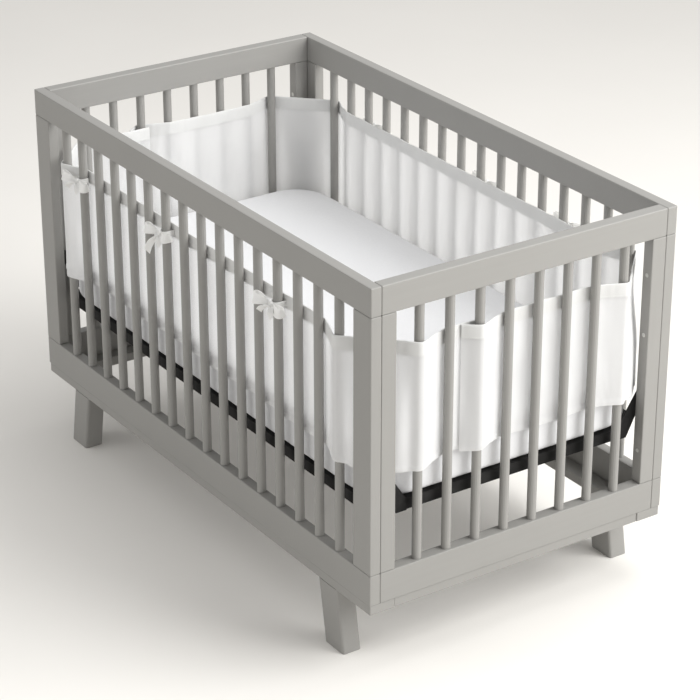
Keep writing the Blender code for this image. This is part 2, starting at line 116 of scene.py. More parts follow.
# Mattress top and sheet
MATTRESS_RING_STEP, MATTRESS_INNERMOST = 0.012, 0.31  # the top's rings, from its edge to near its middle
LEAST_CORNER = 0.018
CROWN_REACH = 0.25  # the top rises over this distance from its edge
TOP_BLEND = 0.004  # the top's unevenness fades out over this height at its edge
WAVE_FADE = (0.03, 0.09)  # and where the innermost rings crowd together
SOFT_WAVE, FINE_WAVE = 0.0012, 0.0005
GATHER, GATHER_REACH, GATHER_LENGTH = 0.0006, 0.03, 3.1
NUT_HEIGHTS = (0.309, 0.578, 0.713)

# Finishes
WOOD_COLOUR = (0.284, 0.278, 0.264, 1)
BINDING_COLOUR = (0.88, 0.88, 0.87, 1)
MESH_PITCH = 0.0021
MESH_GLOW, BINDING_GLOW, RIBBON_GLOW = 0.54, 0.26, 0.38  # the share of light that passes through each cloth
BINDING_PITCH, SHEET_PITCH, RIB_PITCH = 0.0011, 0.0012, 0.0008


# ---------------------------------------------------------------- materials


class Nodes:
    """A new material and short ways to add and link its nodes."""

    def __init__(self, name):
        self.material = bpy.data.materials.new(name)
        self.material.use_nodes = True
        self.tree = self.material.node_tree
        self.tree.nodes.clear()
        self.output = self.tree.nodes.new("ShaderNodeOutputMaterial")

    def add(self, kind, values=(), **settings):
        made = self.tree.nodes.new("ShaderNode" + kind)
        for key, value in settings.items():
            setattr(made, key, value)
        for key, value in dict(values).items():
            if isinstance(value, bpy.types.NodeSocket):
                self.tree.links.new(value, made.inputs[key])
            else:
                made.inputs[key].default_value = value
        return made

    def math(self, operation, a, b=0.0, clamp=False):
        return self.add("Math", {0: a, 1: b}, operation=operation, use_clamp=clamp).outputs[0]

    def noise(self, vector, scale, detail=2.0, roughness=0.5):
        values = {"Vector": vector, "Scale": scale, "Detail": detail, "Roughness": roughness}
        return self.add("TexNoise", values).outputs["Fac"]

    def remap(self, value, low, high, to_low, to_high):
        values = {"Value": value, "From Min": low, "From Max": high, "To Min": to_low, "To Max": to_high}
        return self.add("MapRange", values).outputs["Result"]

    def shade(self, colour, amount):
        """A colour times a grey amount."""
        grey = self.add("CombineColor", {0: amount, 1: amount, 2: amount}).outputs[0]
        values = {0: 1.0, 6: colour, 7: grey}
        return self.add("Mix", values, data_type="RGBA", blend_type="MULTIPLY").outputs[2]

    def bump(self, height, strength, distance, normal=None):
        values = {"Height": height, "Strength": strength, "Distance": distance}
        if normal:
            values["Normal"] = normal
        return self.add("Bump", values).outputs["Normal"]

    def end(self, shader):
        self.tree.links.new(shader, self.output.inputs["Surface"])
        return self.material


def painted_wood():
    """Satin grey paint: a trace of grain along each board, brush and roller marks, small tonal drift."""
    n = Nodes("painted_wood_finish")
    place = n.add("TexCoord").outputs["Object"]
    axes = n.add("SeparateXYZ", {0: place}).outputs
    rail = n.math("MAXIMUM", n.math("GREATER_THAN", axes[2], TOP_RAIL_BASE - 0.001),
                  n.math("LESS_THAN", axes[2], LOW_RAIL_TOP + 0.001))
    long_side = n.math("GREATER_THAN", n.math("ABSOLUTE", axes[1]), INNER_WIDTH / 2)
    along_x = n.math("MULTIPLY", rail, long_side)
    along_y = n.math("SUBTRACT", rail, along_x)
    across, along = 110.0, 5.0
    stretch = n.add("CombineXYZ", {
        0: n.remap(along_x, 0, 1, across, along),
        1: n.remap(along_y, 0, 1, across, along),
        2: n.remap(rail, 0, 1, along, across),
    }).outputs[0]
    streaked = n.add("VectorMath", {0: place, 1: stretch}, operation="MULTIPLY").outputs[0]
    grain = n.noise(streaked, 1.0, 4.0, 0.6)
    drift = n.noise(place, 4.0, 3.0)
    roller = n.noise(place, 620.0, 2.0)
    streaks = n.remap(grain, 0.3, 0.7, 0.98, 1.012)
    tone = n.math("ADD", streaks, n.remap(drift, 0.3, 0.7, -0.02, 0.02))
    colour = n.shade(WOOD_COLOUR, tone)
    normal = n.bump(grain, 0.05, 0.0006)
    normal = n.bump(roller, 0.07, 0.0003, normal)
    shader = n.add("BsdfPrincipled", {
        "Base Color": colour, "Roughness": n.remap(grain, 0.3, 0.7, 0.40, 0.50),
        "Specular IOR Level": 0.45, "Coat Weight": 0.12, "Coat Roughness": 0.35, "Normal": normal,
    })
    return n.end(shader.outputs[0])


def black_steel():
    """Powder-coated steel with a fine pebble and a few rubbed spots."""
    n = Nodes("black_steel_finish")
    place = n.add("TexCoord").outputs["Object"]
    pebble = n.noise(place, 900.0, 2.0)
    rubbed = n.noise(place, 30.0, 4.0)
    colour = n.shade((0.0085, 0.0082, 0.008, 1), n.remap(rubbed, 0.4, 0.75, 0.9, 1.9))
    shader = n.add("BsdfPrincipled", {
        "Base Color": colour, "Roughness": n.remap(rubbed, 0.35, 0.7, 0.62, 0.50),
        "Specular IOR Level": 0.22, "Normal": n.bump(pebble, 0.25, 0.0003),
    })
    return n.end(shader.outputs[0])


def zinc():
    """Dull zinc, turned smooth."""
    n = Nodes("zinc_finish")
    place = n.add("TexCoord").outputs["Object"]
    turned = n.noise(place, 700.0, 3.0)
    shader = n.add("BsdfPrincipled", {
        "Base Color": n.shade((0.62, 0.62, 0.60, 1), n.remap(turned, 0.3, 0.7, 0.85, 1.1)),
        "Metallic": 0.9, "Roughness": n.remap(turned, 0.3, 0.7, 0.28, 0.42),
        "Normal": n.bump(turned, 0.15, 0.0002),
    })
    return n.end(shader.outputs[0])


def woven(n, flat, pitch):
    """Height of a plain weave, thread over thread, on coordinates in metres."""
    scaled = n.add("VectorMath", {0: flat, 1: (1 / pitch, 1 / pitch, 0)}, operation="MULTIPLY").outputs[0]
    axes = n.add("SeparateXYZ", {0: scaled}).outputs
    warp = n.math("SINE", n.math("MULTIPLY", axes[0], 2 * math.pi))
    weft = n.math("SINE", n.math("MULTIPLY", axes[1], 2 * math.pi))
    return n.remap(n.math("MULTIPLY", warp, weft), -1, 1, 0, 1)


def mesh_cloth():
    """White breathable mesh: diamond holes between knitted threads, and thin enough to glow."""
    n = Nodes("mesh_cloth_finish")
    flat = n.add("TexCoord").outputs["UV"]
    turned = n.add("Mapping", {"Vector": flat, "Rotation": (0, 0, math.pi / 4)}).outputs[0]
    holes = n.add("TexVoronoi", {"Vector": turned, "Scale": 1 / MESH_PITCH, "Randomness": 0.0},
                  voronoi_dimensions="2D", feature="F1").outputs["Distance"]
    open_part = n.remap(holes, 0.24, 0.34, 1.0, 0.0)
    drift = n.noise(flat, 9.0, 3.0)
    colour = n.shade((0.95, 0.95, 0.95, 1), n.remap(drift, 0.3, 0.7, 0.985, 1.01))
    normal = n.bump(n.remap(holes, 0.2, 0.6, 0.0, 1.0), 0.35, 0.0004)
    body = n.add("BsdfPrincipled", {
        "Base Color": colour, "Roughness": 0.75, "Sheen Weight": 0.15, "Sheen Roughness": 0.5,
        "Specular IOR Level": 0.25, "Normal": normal,
    }).outputs[0]
    glow = n.add("BsdfTranslucent", {"Color": (0.94, 0.94, 0.94, 1)}).outputs[0]
    cloth = n.add("MixShader", {0: MESH_GLOW, 1: body, 2: glow}).outputs[0]
    clear = n.add("BsdfTransparent").outputs[0]
    amount = n.remap(open_part, 0, 1, 0.02, 0.22)
    return n.end(n.add("MixShader", {0: amount, 1: cloth, 2: clear}).outputs[0])


def binding_cloth():
    """Soft white tape in a plain weave."""
    n = Nodes("binding_cloth_finish")
    flat = n.add("TexCoord").outputs["UV"]
    weave = woven(n, flat, BINDING_PITCH)
    drift = n.noise(flat, 14.0, 3.0)
    colour = n.shade(BINDING_COLOUR, n.remap(drift, 0.3, 0.7, 0.97, 1.01))
    body = n.add("BsdfPrincipled", {
        "Base Color": n.shade(colour, n.remap(weave, 0, 1, 0.95, 1.0)), "Roughness": 0.70,
        "Sheen Weight": 0.2, "Sheen Roughness": 0.4, "Specular IOR Level": 0.3,
        "Normal": n.bump(weave, 0.30, 0.0003),
    }).outputs[0]
    glow = n.add("BsdfTranslucent", {"Color": (0.88, 0.88, 0.87, 1)}).outputs[0]
    return n.end(n.add("MixShader", {0: BINDING_GLOW, 1: body, 2: glow}).outputs[0])


def ribbon_cloth():
    """White ribbon with fine ribs across it and a soft sheen."""
    n = Nodes("ribbon_cloth_finish")
    flat = n.add("TexCoord").outputs["UV"]
    axes = n.add("SeparateXYZ", {0: flat}).outputs
    ribs = n.math("SINE", n.math("MULTIPLY", axes[0], 2 * math.pi / RIB_PITCH))
    drift = n.noise(flat, 60.0, 2.0)
    colour = n.shade((0.975, 0.972, 0.962, 1), n.remap(drift, 0.3, 0.7, 0.97, 1.0))
    body = n.add("BsdfPrincipled", {
        "Base Color": colour, "Roughness": 0.48, "Sheen Weight": 0.35, "Sheen Roughness": 0.35,
        "Specular IOR Level": 0.45, "Normal": n.bump(n.remap(ribs, -1, 1, 0, 1), 0.22, 0.0002),
    }).outputs[0]
    glow = n.add("BsdfTranslucent", {"Color": (0.98, 0.978, 0.97, 1)}).outputs[0]
    return n.end(n.add("MixShader", {0: RIBBON_GLOW, 1: body, 2: glow}).outputs[0])


def sheet_cotton():
    """Fitted sheet: fine plain weave with soft creases."""
    n = Nodes("sheet_cotton_finish")
    place = n.add("TexCoord").outputs["Object"]
    weave = woven(n, place, SHEET_PITCH)
    slubs = n.noise(place, 260.0, 3.0)
    creases = n.noise(place, 11.0, 4.0, 0.55)
    colour = n.shade((0.76, 0.763, 0.775, 1), n.remap(slubs, 0.3, 0.7, 0.975, 1.01))
    normal = n.bump(creases, 0.30, 0.006)
    normal = n.bump(slubs, 0.12, 0.0006, normal)
    normal = n.bump(weave, 0.18, 0.0003, normal)
    shader = n.add("BsdfPrincipled", {
        "Base Color": colour, "Roughness": 0.85, "Sheen Weight": 0.2, "Sheen Roughness": 0.5,
        "Specular IOR Level": 0.25, "Normal": normal,
    })
    return n.end(shader.outputs[0])


def thread_cloth():
    """Twisted white sewing thread."""
    n = Nodes("thread_finish")
    place = n.add("TexCoord").outputs["Object"]
    twist = n.noise(place, 1500.0, 1.0)
    shader = n.add("BsdfPrincipled", {
        "Base Color": n.shade((0.84, 0.84, 0.83, 1), n.remap(twist, 0.3, 0.7, 0.9, 1.05)),
        "Roughness": 0.6, "Specular IOR Level": 0.35, "Normal": n.bump(twist, 0.2, 0.0001),
    })
    return n.end(shader.outputs[0])


def floor_finish():
    """Plain pale floor."""
    n = Nodes("floor_finish")
    place = n.add("TexCoord").outputs["Object"]
    drift = n.noise(place, 1.5, 3.0)
    colour = n.shade((0.84, 0.82, 0.785, 1), n.remap(drift, 0.3, 0.7, 0.985, 1.01))
    shader = n.add("BsdfPrincipled", {"Base Color": colour, "Roughness": 0.8, "Specular IOR Level": 0.2})
    return n.end(shader.outputs[0])


FINISHES = {
    "painted_wood": painted_wood(),
    "black_steel": black_steel(),
    "zinc": zinc(),
    "mesh_cloth": mesh_cloth(),
    "binding_cloth": binding_cloth(),
    "ribbon_cloth": ribbon_cloth(),
    "sheet_cotton": sheet_cotton(),
    "thread": thread_cloth(),
}


# ---------------------------------------------------------------- mesh helpers


def make_object(name, bm, finish, sharp=math.radians(55)):
    """Turn a bmesh into a smooth-shaded object with a finish."""
    bmesh.ops.recalc_face_normals(bm, faces=bm.faces[:])
    mesh = bpy.data.meshes.new(name)
    bm.to_mesh(mesh)
    bm.free()
    mesh.materials.append(FINISHES[finish])
    mesh.shade_smooth()
    mesh.set_sharp_from_angle(angle=sharp)
    made = bpy.data.objects.new(name, mesh)
    bpy.context.scene.collection.objects.link(made)
    return made


def piece(made, slot, *stands_for):
    """Attach an object to the crib's root body and hide the CAD nodes it stands for."""
    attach(made, "root")
    if stands_for:
        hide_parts(*stands_for)
    return made


def add_shell(bm, outer, inner, flat):
    """A closed skin between two grids of points of the same size, with flat coordinates in metres."""
    uv = bm.loops.layers.uv.verify()
    grids = [[[bm.verts.new(point) for point in row] for row in grid] for grid in (outer, inner)]
    rows, columns = len(outer), len(outer[0])

    def face(corners):
        made = bm.faces.new([grids[side][i][j] for side, i, j in corners])
        for loop, (_, i, j) in zip(made.loops, corners):
            loop[uv].uv = flat[i][j]

    for i in range(rows - 1):
        for j in range(columns - 1):
            face([(0, i, j), (0, i + 1, j), (0, i + 1, j + 1), (0, i, j + 1)])
            face([(1, i, j), (1, i, j + 1), (1, i + 1, j + 1), (1, i + 1, j)])
    for i in range(rows - 1):
        face([(0, i, 0), (1, i, 0), (1, i + 1, 0), (0, i + 1, 0)])
        last = columns - 1
        face([(0, i, last), (0, i + 1, last), (1, i + 1, last), (1, i, last)])
    for j in range(columns - 1):
        face([(0, 0, j), (0, 0, j + 1), (1, 0, j + 1), (1, 0, j)])
        last = rows - 1
        face([(0, last, j), (1, last, j), (1, last, j + 1), (0, last, j + 1)])


def add_loft(bm, rings):
    """Join rings of points into a tube closed by a fan at each end."""
    rows = [[bm.verts.new(point) for point in ring] for ring in rings]
    count = len(rows[0])
    for row, following in zip(rows, rows[1:]):
        for i in range(count):
            j = (i + 1) % count
            bm.faces.new((row[i], row[j], following[j], following[i]))
    for ring, row in ((rings[0], rows[0]), (rings[-1], rows[-1])):
        middle = bm.verts.new(sum((Vector(point) for point in ring), Vector()) / count)
        for i in range(count):
            bm.faces.new((row[i], row[(i + 1) % count], middle))


# ---------------------------------------------------------------- the path of the cloth through the slats


def along_side(index):
    return (index - (SIDE_SLATS + 1) / 2) * SIDE_PITCH


def along_end(index):
    return (index - (END_SLATS + 1) / 2) * END_PITCH


def near_slat(index):
    return (END_X, along_end(index))


def far_slat(index):
    return (-END_X, along_end(index))


def front_slat(index):
    return (along_side(index), -SIDE_Y)


def back_slat(index):
    return (along_side(index), SIDE_Y)


SLATS = [make(i + 1) for make, count in (
    (near_slat, END_SLATS), (far_slat, END_SLATS), (front_slat, SIDE_SLATS), (back_slat, SIDE_SLATS),
) for i in range(count)]


def taut_path(stops):
    """A line pulled tight past round slats; each stop is (centre, turn, radius)."""
    tangents = []
    for (a, turn_a, radius_a), (b, turn_b, radius_b) in zip(stops, stops[1:]):
        across = Vector(b) - Vector(a)
        lean = math.asin((turn_a * radius_a - turn_b * radius_b) / across.length)
        angle = math.atan2(across.y, across.x) + lean
        normal = Vector((math.sin(angle), -math.cos(angle)))
        start = Vector(a) + normal * turn_a * radius_a
        finish = Vector(b) + normal * turn_b * radius_b
        tangents.append((start, finish, angle))
    points = []
    for i, (start, finish, angle) in enumerate(tangents):
        if i:
            centre, turn, radius = stops[i]
            before = tangents[i - 1][2]
            swing = (angle - before + math.pi) % (2 * math.pi) - math.pi
            steps = max(1, math.ceil(abs(swing) / ARC_STEP))
            for step in range(1, steps):
                at = before + swing * step / steps
                points.append(Vector(centre) + Vector((math.sin(at), -math.cos(at))) * turn * radius)
        parts = max(1, round((finish - start).length / RUN_STEP))
        for part in range(parts + 1):
            points.append(start.lerp(finish, part / parts))
    return [p for i, p in enumerate(points) if i == 0 or (p - points[i - 1]).length > SAME_POINT]


def front_panel_path():
    """From the near closure, round the front corners and along the front, to the far closure."""
    r = WRAP_RADIUS
    inside, lap = END_X - r, along_end(CLOSURE_SLAT) + LAP_END
    return taut_path([
        ((inside, lap), 0, 0.0), (near_slat(2), 1, r), (near_slat(1), -1, r),
        (front_slat(SIDE_SLATS), -1, r), (front_slat(SIDE_SLATS - 1), 1, r),
        (front_slat(2), 1, r), (front_slat(1), -1, r),
        (far_slat(1), -1, r), (far_slat(2), 1, r), ((-inside, lap), 0, 0.0),
    ])


def back_panel_path():
    """From the near closure, round the back corners and along the back, to the far closure."""
    r = WRAP_RADIUS
    lapped = END_X - r + 2 * CLOTH_HALF + 2 * GAP
    free = along_end(CLOSURE_SLAT) - FREE_EDGE
    return taut_path([
        ((lapped, free), 0, 0.0), (near_slat(CLOSURE_SLAT), 1, r), (near_slat(CLOSURE_SLAT + 1), -1, r),
        (near_slat(END_SLATS - 1), -1, r), (near_slat(END_SLATS), 1, r),
        (back_slat(SIDE_SLATS), 1, r), (back_slat(SIDE_SLATS - 1), -1, r),
        (back_slat(2), -1, r), (back_slat(1), 1, r),
        (far_slat(END_SLATS), 1, r), (far_slat(END_SLATS - 1), -1, r),
        (far_slat(CLOSURE_SLAT + 1), -1, r), (far_slat(CLOSURE_SLAT), 1, r), ((-lapped, free), 0, 0.0),
    ])


def path_frames(points):
    """Each point with its unit sideways direction and its distance along the path."""
    frames, run = [], 0.0
    for i, point in enumerate(points):
        before, after = points[max(i - 1, 0)], points[min(i + 1, len(points) - 1)]
        if i:
            run += (point - before).length
        ahead = (after - before).normalized()
        frames.append((point, Vector((ahead.y, -ahead.x)), run))
    return frames


# ---------------------------------------------------------------- bumper panels


def smooth(value, low, high):
    """0 below low, 1 above high, and an even S between."""
    t = min(1.0, max(0.0, (value - low) / (high - low)))
    return t * t * (3 - 2 * t)


def slack(point):
    """How freely the cloth can move here: 0 where it lies on a slat, 1 between slats."""
    nearest = min(math.hypot(point.x - x, point.y - y) for x, y in SLATS)
    return smooth(nearest, WRAP_RADIUS, WRAP_RADIUS + SLACK_REACH)


def mattress_distance(x, y):
    """Distance from a point to the mattress's outline, and the way out of it."""
    half_x = MATTRESS_LENGTH / 2 - MATTRESS_CORNER
    half_y = MATTRESS_WIDTH / 2 - MATTRESS_CORNER
    qx, qy = abs(x) - half_x, abs(y) - half_y
    if qx > 0 and qy > 0:
        out = Vector((qx, qy)).normalized()
        distance = math.hypot(qx, qy) - MATTRESS_CORNER
    elif qx > qy:
        out, distance = Vector((1, 0)), qx - MATTRESS_CORNER
    else:
        out, distance = Vector((0, 1)), qy - MATTRESS_CORNER
    return distance, Vector((math.copysign(out.x, x), math.copysign(out.y, y)))


def drape(point, side, run, height, seed):
    """Where the cloth's middle layer is at a distance along the path and a height."""
    inward = -1.0 if side.dot(point) > 0 else 1.0
    free = slack(point)
    level = (height - CLOTH_BOTTOM) / (CLOTH_TOP - CLOTH_BOTTOM)
    belly = math.sin(math.pi * min(1.0, max(0.0, level))) ** 0.7
    broad = noise.noise(Vector((run * 5.5, level * 1.2, seed)))
    folds = noise.noise(Vector((run * 23.0, level * 1.5, seed + 7)))
    slant = noise.noise(Vector((run * 17.0 + level * 1.6, level * 3.5, seed + 13)))
    low = math.exp(-max(0.0, height - CLOTH_BOTTOM) / PUCKER_REACH)
    puckers = math.sin(2 * math.pi * (run / PUCKER_LENGTH + 2.2 * broad + 1.5 * level))
    high = math.exp(-max(0.0, CLOTH_TOP - height) / RIPPLE_REACH)
    ripples = math.sin(2 * math.pi * (run / RIPPLE_LENGTH + 1.7 * folds))
    moved = BILLOW * (0.35 + 0.65 * belly) * inward
    moved += BROAD_WAVE * broad * belly + FOLD * folds + SLANT * slant * belly
    moved += PUCKER * low * puckers + RIPPLE * high * ripples
    past_slats = min(abs(point.x) - along_side(SIDE_SLATS), abs(point.y) - along_end(END_SLATS))
    moved -= CORNER_SAG * smooth(past_slats, *SAG_PAST_SLATS) * smooth(1 - level, *SAG_DOWN) * inward
    moved *= free
    place = Vector((point.x, point.y)) + side * moved
    for x, y in SLATS:
        away = place - Vector((x, y))
        if away.length < WRAP_RADIUS - SLAT_PRESS:
            place = Vector((x, y)) + away.normalized() * (WRAP_RADIUS - SLAT_PRESS)
    if height < MATTRESS_BOTTOM + MATTRESS_THICK + MATTRESS_NEAR:
        distance, out = mattress_distance(place.x, place.y)
        if distance < MATTRESS_CLEAR:
            place += out * (MATTRESS_CLEAR - distance)
    return place


def top_edge(run, seed):
    """The binding's fold rises and falls a little along the panel."""
    return CLOTH_TOP - TOP_DIP + TOP_WAVE * noise.noise(Vector((run * 6.0, 0.0, seed + 31)))


def low_edge(run, seed):
    """The hem's lower edge waves along the panel."""
    wave = EDGE_WAVE * math.sin(2 * math.pi * run / EDGE_WAVE_LENGTH)
    return CLOTH_BOTTOM + wave + LOW_WAVE * noise.noise(Vector((run * 14.0, 0.0, seed + 43)))


def build_panel(label, path, seed):
    """One mesh panel with its hem, the binding over its top edge, and two stitch lines."""
    frames = path_frames(path)
    levels = [0.0, 0.003, 0.006, 0.009, HEM - 0.0008, HEM + 0.0004]
    clear = CLOTH_TOP - BINDING_PLY - GAP - TOP_ROW
    while CLOTH_BOTTOM + levels[-1] + ROW_STEP < clear - TOP_ROW:
        levels.append(levels[-1] + ROW_STEP)
    span = clear - CLOTH_BOTTOM
    outer, inner, flat = [], [], []
    hem_line, seam_line, folds = [], [], []
    for point, side, run in frames:
        base, top = low_edge(run, seed), top_edge(run, seed)
        cut = top - BINDING_PLY - GAP
        rise = (cut - base) / span
        heights = [base + level if level < 2 * HEM else base + level * rise for level in levels] + [cut]
        middle = [drape(point, side, run, height, seed) for height in heights]
        out_row, in_row, flat_row = [], [], []
        for k, (height, place) in enumerate(zip(heights, middle)):
            half = (HEM_THICK if k < HEM_ROWS else CLOTH) / 2
            if k in (0, HEM_ROWS - 1):
                half *= HEM_ROUNDING
            out_row.append((*(place + side * half), height))
            in_row.append((*(place - side * half), height))
            flat_row.append((run, height - base))
        outer.append(out_row)
        inner.append(in_row)
        flat.append(flat_row)
        hem_line.append((middle[HEM_STITCH_ROW], side, heights[HEM_STITCH_ROW], HEM_THICK / 2))
        binding_low = top - BINDING
        seam_height = binding_low + SEAM_INSET
        seam_line.append((drape(point, side, run, seam_height, seed), side, seam_height, CLOTH_HALF))
        folds.append((point, side, run, binding_low, top))
    bm = bmesh.new()
    add_shell(bm, outer, inner, flat)
    panel = piece(make_object(f"mesh_panel_{label}", bm, "mesh_cloth"), "mesh_cloth", f"bumper_panel_{label}")
    binding = build_binding(label, folds, seed)

    bm = bmesh.new()
    for line in (hem_line, seam_line):
        for face in (1, -1):
            sew(bm, [(Vector((*(place + side * face * (half + THREAD * 0.3)), height)), side)
                     for place, side, height, half in line])
    stitches = piece(make_object(f"stitches_{label}", bm, "thread"), "binding_cloth")


def binding_section(low, top):
    """Up one face of the cloth, round the fold and down the other: (height, across, up) of each point."""
    fold_base = top - CLOTH_HALF
    heights = [low + share * (fold_base - low) for share in (0, 0.04, 0.25, 0.5, 0.75, 1)]
    turns = [math.radians(30 * step) for step in range(1, 6)]
    up_one_face = [(height, 1.0, 0.0) for height in heights]
    round_fold = [(fold_base, math.cos(turn), math.sin(turn)) for turn in turns]
    down_the_other = [(height, -1.0, 0.0) for height in reversed(heights)]
    return up_one_face + round_fold + down_the_other


def build_binding(label, folds, seed):
    """The band folded over a panel's top edge."""
    bm = bmesh.new()
    outer, inner, flat = [], [], []
    for point, side, run, low, top in folds:
        out_row, in_row, flat_row, length = [], [], [], 0.0
        for height, across, up in binding_section(low, top):
            place = drape(point, side, run, height, seed)
            thin = CLOTH / 2 + GAP
            out_row.append((*(place + side * across * CLOTH_HALF), height + up * CLOTH_HALF))
            in_row.append((*(place + side * across * thin), height + up * thin))
            if len(out_row) > 1:
                length += (Vector(out_row[-1]) - Vector(out_row[-2])).length
            flat_row.append((run, length))
        outer.append(out_row)
        inner.append(in_row)
        flat.append(flat_row)
    add_shell(bm, outer, inner, flat)
    made = make_object(f"binding_{label}", bm, "binding_cloth")
    return piece(made, "binding_cloth", f"bumper_binding_{label}")


def sew(bm, line):
    """A row of small stitches along a line of (point, sideways) pairs."""
    step, at, run = STITCH + STITCH_GAP, 0.0, 0.0
    for (a, side), (b, _) in zip(line, line[1:]):
        length = (b - a).length
        ahead = (b - a) / length
        while at < run + length:
            start = a + ahead * (at - run)
            across = Vector((side.x, side.y, 0)) * THREAD
            up = Vector((0, 0, 1)) * THREAD
            middle = start + ahead * STITCH / 2
            tips = [bm.verts.new(start), bm.verts.new(start + ahead * STITCH)]
            belt = [bm.verts.new(middle + offset) for offset in (across, up, -across, -up)]
            for k in range(4):
                bm.faces.new((belt[k], belt[(k + 1) % 4], tips[0]))
                bm.faces.new((belt[(k + 1) % 4], belt[k], tips[1]))
            at += step
        run += length


# ---------------------------------------------------------------- bows


def ribbon(bm, line, ups, widths, pleat=None, slant=0.0):
    """A thin ribbon along a line.

    ups are the directions of its width, pleat is the depth of its folds, and slant how far one corner of
    its cut end stands past the other.
    """
    across_steps = 8
    outer, inner, flat, run = [], [], [], 0.0
    for i, point in enumerate(line):
        before, after = line[max(i - 1, 0)], line[min(i + 1, len(line) - 1)]
        ahead = (after - before).normalized()
        up = (ups[i] - ahead * ups[i].dot(ahead)).normalized()
        face = ahead.cross(up).normalized()
        if i:
            run += (point - before).length
        depth = pleat[i] if pleat else 0.0
        last = slant if i == len(line) - 1 else 0.0
        out_row, in_row, flat_row = [], [], []
        for j in range(across_steps + 1):
            u = j / across_steps - 0.5
            place = point + up * u * widths[i] + ahead * last * u
            place += face * depth * math.cos(5 * math.pi * u)
            out_row.append(place + face * RIBBON / 2)
            in_row.append(place - face * RIBBON / 2)
            flat_row.append((run, u * widths[i]))
        outer.append(out_row)
        inner.append(in_row)
        flat.append(flat_row)
    add_shell(bm, outer, inner, flat)


def bow(name, node, slat, outward, seed, left, right, tails, back_gap):
    """A bow tied round a slat.

    left and right are (length, depth, width, tilt, droop) of the loops, and each tail is (sideways,
    outwards, drop, width, slant) of a free end.
    """
    bm = bmesh.new()
    leg = (back_gap, back_gap / 2, 0.0)
    turns = [math.radians(15 * k) for k in range(1, 12)]
    line = [Vector((TIE_WRAP, y, 0)) for y in leg]
    line += [Vector((TIE_WRAP * math.cos(a), -TIE_WRAP * math.sin(a), 0)) for a in turns]
    line += [Vector((-TIE_WRAP, y, 0)) for y in reversed(leg)]
    around = [math.pi * i / (len(line) - 1) for i in range(len(line))]
    widths = [BAND_WIDTH - BAND_PINCH * math.sin(a) ** 4 for a in around]
    ribbon(bm, line, [Vector((0, 0, 1))] * len(line), widths)

    knot_y = -(TIE_WRAP + KNOT_DEPTH / 2)
    half_length, half_depth, half_height = KNOT_HALVES
    rings = []
    for k in range(9):
        t = k / 8
        swell = 0.55 + 0.45 * math.sin(math.pi * t) ** 0.6
        ring = []
        for m in range(20):
            a = 2 * math.pi * m / 20
            pleat = 1 + 0.07 * math.cos(3 * a + 2.0 * t) + 0.05 * math.sin(5 * a + seed)
            ring.append((
                half_length * (2 * t - 1) + 0.0004 * math.sin(3 * a),
                knot_y + half_depth * swell * pleat * math.cos(a),
                half_height * swell * pleat * math.sin(a),
            ))
        rings.append(ring)
    add_loft(bm, rings)

    steps = 28
    for sign, (reach, depth, width, tilt, droop) in ((-1, left), (1, right)):
        line, ups, widths, pleats = [], [], [], []
        for k in range(steps + 1):
            t = k / steps
            out = reach * math.sin(math.pi * t) ** 0.75
            share = out / reach
            bulge = depth / 2 * math.sin(2 * math.pi * t) * (0.65 + 0.35 * share)
            apart = 0.0016 * math.cos(math.pi * t)
            lift = tilt * out - droop * share * share
            line.append(Vector((sign * (out + 0.003), knot_y + apart - bulge - 0.004 * share, lift)))
            lean = 0.35 * math.sin(2 * math.pi * t) + 0.12 * noise.noise(Vector((t * 3, seed, sign)))
            ups.append(Vector((sign * -0.25 * (1 - share), lean, 1.0)))
            widths.append(LOOP_ROOT + (width - LOOP_ROOT) * min(1.0, 1.25 * share) ** 0.8)
            pleats.append(0.0011 * (1 - share) ** 2)
        ribbon(bm, line, ups, widths, pleats)
    for order, (sideways, outwards, drop, width, slant) in enumerate(tails):
        start = Vector((math.copysign(0.001, sideways), knot_y - 0.0028 - 0.0012 * order, -0.003))
        finish = Vector((sideways, knot_y - outwards, -drop))
        line, ups, widths, pleats = [], [], [], []
        for k in range(15):
            t = k / 14
            sag = Vector((sideways * 0.12, -0.003, 0.002)) * math.sin(math.pi * t)
            line.append(start.lerp(finish, t) + sag)
            turn = 0.5 * math.sin(2.4 * t + seed)
            ups.append(Vector((0.6, 0.75 + 0.12 * turn, -0.1)))
            widths.append(TAIL_ROOT + (width - TAIL_ROOT) * smooth(t, 0.0, 0.55))
            pleats.append(0.0012 * (1 - smooth(t, 0.0, 0.7)))
        ribbon(bm, line, ups, widths, pleats, slant)
    made = make_object(name, bm, "ribbon_cloth", math.radians(70))
    turn = Matrix.Rotation(0 if outward < 0 else math.pi, 4, "Z")
    made.data.transform(Matrix.Translation((slat[0], slat[1], TIE_HEIGHT)) @ turn)
    return piece(made, "ribbon_cloth", node)


